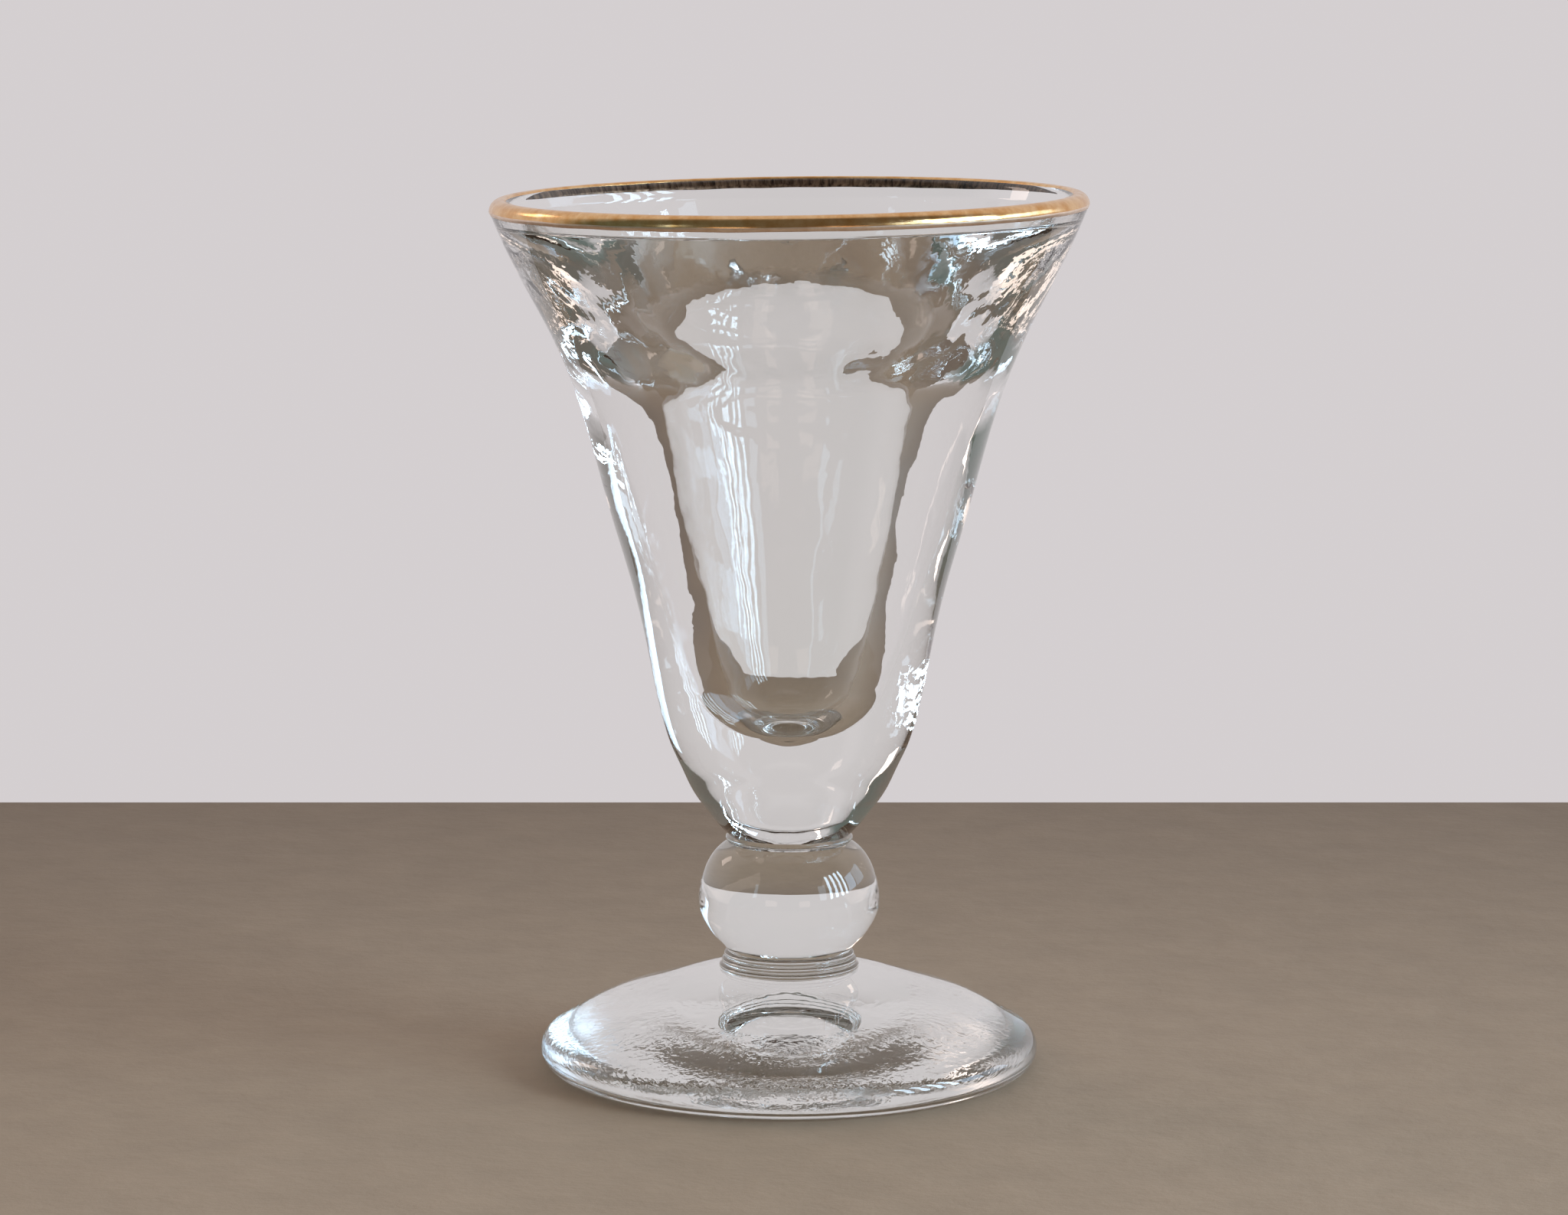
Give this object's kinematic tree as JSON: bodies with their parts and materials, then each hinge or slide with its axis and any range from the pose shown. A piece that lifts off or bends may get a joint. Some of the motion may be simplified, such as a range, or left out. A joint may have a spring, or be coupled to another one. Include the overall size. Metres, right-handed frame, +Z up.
{
  "type": "bistro glass",
  "caption": "Footed bistro glass: thick flared bowl on a ball knop with a neck ring and a ringed collar, a domed foot and a gilt lip, for serving a drink.",
  "frame": {"origin": "middle of the foot's contact ring, on the table", "axes": "+Z up along the glass's axis; X and Y are alike, because every piece is turned"},
  "size_m": [0.071, 0.071, 0.105],
  "materials": {
    "clear_glass": "clear pressed glass, fire polished, slightly wavy",
    "gilding": "burnished fired gold, a little worn"
  },
  "bodies": {
    "root": {"foot": "clear_glass", "collar": "clear_glass", "knop": "clear_glass", "neck_ring": "clear_glass", "bowl": "clear_glass", "gilt_rim": "gilding"}
  },
  "joints": []
}
